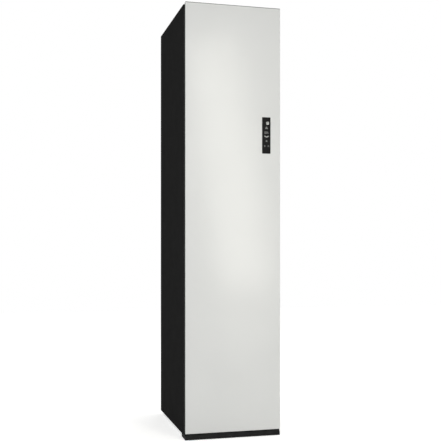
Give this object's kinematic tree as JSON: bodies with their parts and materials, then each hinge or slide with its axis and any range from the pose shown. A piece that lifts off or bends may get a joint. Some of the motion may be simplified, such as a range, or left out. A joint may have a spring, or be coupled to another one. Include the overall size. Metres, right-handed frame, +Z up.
{
  "type": "clothes care steam cabinet",
  "caption": "Tall narrow cabinet that steams and dries clothes behind a full-height glass door, with a shaking hanger rail, lift-out shelf and water tanks.",
  "frame": {"origin": "on the floor under the middle of the cabinet's outer box", "axes": "+Z up, the door faces -Y, +X to the right of someone who faces the door"},
  "size_m": [0.445, 0.615, 1.96],
  "materials": {
    "paint": "satin",
    "zinc": "satin",
    "steel": "polished",
    "fins": "satin",
    "face": "gloss",
    "touch": "gloss",
    "black": "matte",
    "grey": "satin",
    "white": "satin",
    "smoke": "gloss",
    "foam": "matte",
    "rubber": "matte",
    "board": "satin"
  },
  "bodies": {
    "cabinet": {"side_panel_left": "paint", "side_panel_right": "paint", "top_cover": "paint", "rear_panel": "zinc", "rear_service_cover": "paint", "cord_gland": "rubber", "base_pan": "zinc", "front_plinth": "black", "foot_front_left": "black", "foot_front_right": "black", "foot_rear_left": "black", "foot_rear_right": "black", "header_panel": "paint", "front_service_panel": "paint", "chamber_liner": "grey", "foam_jacket": "foam", "rear_duct": "black", "steam_vent": "black", "rail_guide": "white", "drive_bridge": "zinc", "drive_motor": "zinc", "drive_belt": "rubber", "tank_bay": "black", "compressor": "paint", "evaporator": "fins", "condenser": "fins", "fan_housing": "grey", "fan_motor": "zinc", "steam_generator": "steel", "steam_hose": "rubber", "water_hose": "rubber", "drain_pump": "black", "electronics_box": "white", "hinge_bracket_top": "steel", "hinge_bracket_bottom": "steel"},
    "door": {"door_glass": "face", "door_stile_hinge": "black", "door_stile_grip": "black", "door_rail_top": "black", "door_rail_bottom": "black", "door_foam": "foam", "door_inner_skin": "grey", "door_gasket": "rubber", "control_window": "touch", "control_board": "board"},
    "rail": {"hanger_rail": "steel", "rail_carriage": "zinc"},
    "hanger_left": {"hanger_left": "black"},
    "hanger_middle": {"hanger_middle": "black"},
    "hanger_right": {"hanger_right": "black"},
    "crank": {"crank_pulley": "white"},
    "motor_rotor": {"motor_pulley": "steel"},
    "shelf": {"shelf": "grey"},
    "lint_filter": {"lint_filter": "smoke"},
    "aroma_case": {"aroma_case": "white"},
    "supply_tank": {"supply_tank": "smoke"},
    "supply_tank_lid": {"supply_tank_lid": "grey"},
    "drain_tank": {"drain_tank": "smoke"},
    "drain_tank_lid": {"drain_tank_lid": "grey"},
    "fan_wheel": {"fan_wheel": "white"}
  },
  "joints": [
    {"name": "door_swing", "type": "hinge", "parent": "cabinet", "child": "door", "pos_m": [-0.2065, -0.288, 0.98], "axis": [0, 0, -1], "range_deg": [0, 110]},
    {"name": "rail_shake", "type": "slide", "parent": "cabinet", "child": "rail", "axis": [1, 0, 0], "range_m": [-0.02, 0.02]},
    {"name": "hanger_left_lift", "type": "slide", "parent": "rail", "child": "hanger_left", "axis": [0, 0, 1], "range_m": [0, 0.014]},
    {"name": "hanger_middle_lift", "type": "slide", "parent": "rail", "child": "hanger_middle", "axis": [0, 0, 1], "range_m": [0, 0.014]},
    {"name": "hanger_right_lift", "type": "slide", "parent": "rail", "child": "hanger_right", "axis": [0, 0, 1], "range_m": [0, 0.014]},
    {"name": "crank_spin", "type": "hinge", "parent": "cabinet", "child": "crank", "pos_m": [0, -0.02, 1.88], "axis": [0, 0, 1], "continuous": true},
    {"name": "motor_spin", "type": "hinge", "parent": "cabinet", "child": "motor_rotor", "pos_m": [0, 0.102, 1.88], "axis": [0, 0, 1], "continuous": true},
    {"name": "shelf_lift", "type": "slide", "parent": "cabinet", "child": "shelf", "axis": [0, 0, 1], "range_m": [0, 0.03]},
    {"name": "lint_filter_lift", "type": "slide", "parent": "cabinet", "child": "lint_filter", "axis": [0, 0, 1], "range_m": [0, 0.084]},
    {"name": "aroma_case_lift", "type": "slide", "parent": "cabinet", "child": "aroma_case", "axis": [0, 0, 1], "range_m": [0, 0.04]},
    {"name": "supply_tank_pull", "type": "slide", "parent": "cabinet", "child": "supply_tank", "axis": [0, -1, 0], "range_m": [0, 0.042]},
    {"name": "supply_tank_lid_lift", "type": "slide", "parent": "supply_tank", "child": "supply_tank_lid", "axis": [0, 0, 1], "range_m": [0, 0.01]},
    {"name": "drain_tank_pull", "type": "slide", "parent": "cabinet", "child": "drain_tank", "axis": [0, -1, 0], "range_m": [0, 0.042]},
    {"name": "drain_tank_lid_lift", "type": "slide", "parent": "drain_tank", "child": "drain_tank_lid", "axis": [0, 0, 1], "range_m": [0, 0.01]},
    {"name": "fan_spin", "type": "hinge", "parent": "cabinet", "child": "fan_wheel", "pos_m": [-0.1, 0.24, 0.165], "axis": [0, 1, 0], "continuous": true}
  ],
  "couplings": [
    {"joint": "motor_spin", "follows": "crank_spin", "ratio": 4}
  ]
}
